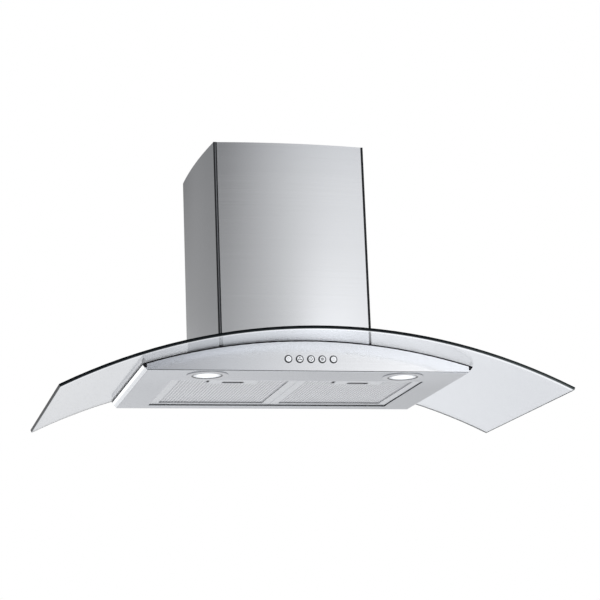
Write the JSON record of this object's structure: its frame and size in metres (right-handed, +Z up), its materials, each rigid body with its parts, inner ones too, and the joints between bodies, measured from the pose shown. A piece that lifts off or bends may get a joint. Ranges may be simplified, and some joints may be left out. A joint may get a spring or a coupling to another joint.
{
  "type": "range hood",
  "caption": "Wall-mounted range hood: arched glass canopy, slim stainless body with push buttons, lamps and hinged filters, and a telescopic bowed chimney over a blower.",
  "frame": {"origin": "centre of the four wall-fixing holes, on the wall plane", "axes": "+X to the right seen from the front, +Y into the wall, +Z up"},
  "size_m": [0.8994, 0.469, 0.494],
  "materials": {
    "brushed_stainless": "brushed stainless steel, fine straight grain",
    "canopy_glass": "clear tempered glass, green-black polished edge",
    "black_rubber": "matt",
    "galvanised_steel": "galvanised sheet, matt spangle",
    "zinc_screws": "zinc plated",
    "polished_trim": "polished",
    "button_cap": "satin metallic with grey symbols",
    "aluminium_mesh": "expanded mesh",
    "aluminium_frame": "satin",
    "lamp_lens": "frosted, lit",
    "lamp_body": "cast, satin",
    "black_plastic": "moulded, fine texture",
    "dark_trim": "satin",
    "grey_plastic": "moulded",
    "circuit_board": "solder mask",
    "motor_shell": "satin",
    "machined_steel": "ground"
  },
  "bodies": {
    "hood": {"glass_canopy": "canopy_glass", "glass_seal_outer": "black_rubber", "glass_seal_inner": "black_rubber", "glass_bushings": "black_rubber", "front_fascia": "brushed_stainless", "underside_panel": "brushed_stainless", "rear_panel": "galvanised_steel", "plenum_top": "galvanised_steel", "partition_panel": "galvanised_steel", "lamp_trim_left": "brushed_stainless", "lamp_trim_right": "brushed_stainless", "lamp_lens_left": "lamp_lens", "lamp_lens_right": "lamp_lens", "lamp_can_left": "lamp_body", "lamp_can_right": "lamp_body", "led_boards": "circuit_board", "lamp_driver": "black_plastic", "button_bezels": "polished_trim", "switch_block": "black_plastic", "control_board": "circuit_board", "blower_case": "galvanised_steel", "case_screws": "zinc_screws", "scroll_housing": "grey_plastic", "inlet_ring_left": "black_plastic", "inlet_ring_right": "black_plastic", "motor": "motor_shell", "motor_bearings": "machined_steel", "motor_bracket": "galvanised_steel", "capacitor": "grey_plastic", "terminal_box": "black_plastic", "terminal_box_lid": "black_plastic", "cable_gland": "black_plastic", "outlet_collar": "black_plastic", "damper_pin": "machined_steel", "chimney_front": "brushed_stainless", "chimney_side_left": "brushed_stainless", "chimney_side_right": "brushed_stainless", "chimney_trim_left": "dark_trim", "chimney_trim_right": "dark_trim", "chimney_brackets": "galvanised_steel", "chimney_screws": "zinc_screws"},
    "filter_left": {"filter_frame_left": "aluminium_frame", "filter_mesh_left": "aluminium_mesh"},
    "filter_right": {"filter_frame_right": "aluminium_frame", "filter_mesh_right": "aluminium_mesh"},
    "latch_left": {"filter_latch_left": "black_plastic"},
    "latch_right": {"filter_latch_right": "black_plastic"},
    "fan_rotor": {"impeller": "black_plastic", "motor_shaft": "machined_steel"},
    "flap_left": {"damper_flap_left": "aluminium_frame"},
    "flap_right": {"damper_flap_right": "aluminium_frame"},
    "upper_section": {"upper_chimney": "brushed_stainless", "upper_bracket": "galvanised_steel"},
    "button_1": {"button_1": "button_cap"},
    "button_2": {"button_2": "button_cap"},
    "button_3": {"button_3": "button_cap"},
    "button_4": {"button_4": "button_cap"},
    "button_5": {"button_5": "button_cap"}
  },
  "joints": [
    {"name": "button_1_press", "type": "slide", "parent": "hood", "child": "button_1", "axis": [0, 1, 0], "range_m": [0, 0.002], "stiffness_N_per_m": 300, "springref_m": -0.002},
    {"name": "button_2_press", "type": "slide", "parent": "hood", "child": "button_2", "axis": [0, 1, 0], "range_m": [0, 0.002], "stiffness_N_per_m": 300, "springref_m": -0.002},
    {"name": "button_3_press", "type": "slide", "parent": "hood", "child": "button_3", "axis": [0, 1, 0], "range_m": [0, 0.002], "stiffness_N_per_m": 300, "springref_m": -0.002},
    {"name": "button_4_press", "type": "slide", "parent": "hood", "child": "button_4", "axis": [0, 1, 0], "range_m": [0, 0.002], "stiffness_N_per_m": 300, "springref_m": -0.002},
    {"name": "button_5_press", "type": "slide", "parent": "hood", "child": "button_5", "axis": [0, 1, 0], "range_m": [0, 0.002], "stiffness_N_per_m": 300, "springref_m": -0.002},
    {"name": "fan_spin", "type": "hinge", "parent": "hood", "child": "fan_rotor", "pos_m": [0, -0.15, 0.016], "axis": [1, 0, 0], "continuous": true},
    {"name": "flap_left_open", "type": "hinge", "parent": "hood", "child": "flap_left", "pos_m": [0, -0.105, 0.162], "axis": [0, 1, 0], "range_deg": [0, 75]},
    {"name": "flap_right_open", "type": "hinge", "parent": "hood", "child": "flap_right", "pos_m": [0, -0.105, 0.162], "axis": [0, -1, 0], "range_deg": [0, 75]},
    {"name": "filter_left_open", "type": "hinge", "parent": "hood", "child": "filter_left", "pos_m": [-0.11545, -0.031, -0.145], "axis": [1, 0, 0], "range_deg": [0, 75]},
    {"name": "filter_right_open", "type": "hinge", "parent": "hood", "child": "filter_right", "pos_m": [0.11545, -0.031, -0.145], "axis": [1, 0, 0], "range_deg": [0, 75]},
    {"name": "latch_left_pull", "type": "slide", "parent": "filter_left", "child": "latch_left", "axis": [0, 1, 0], "range_m": [0, 0.003], "stiffness_N_per_m": 300, "springref_m": -0.003},
    {"name": "latch_right_pull", "type": "slide", "parent": "filter_right", "child": "latch_right", "axis": [0, 1, 0], "range_m": [0, 0.003], "stiffness_N_per_m": 300, "springref_m": -0.003},
    {"name": "upper_chimney_lift", "type": "slide", "parent": "hood", "child": "upper_section", "axis": [0, 0, 1], "range_m": [0, 0.3]}
  ]
}
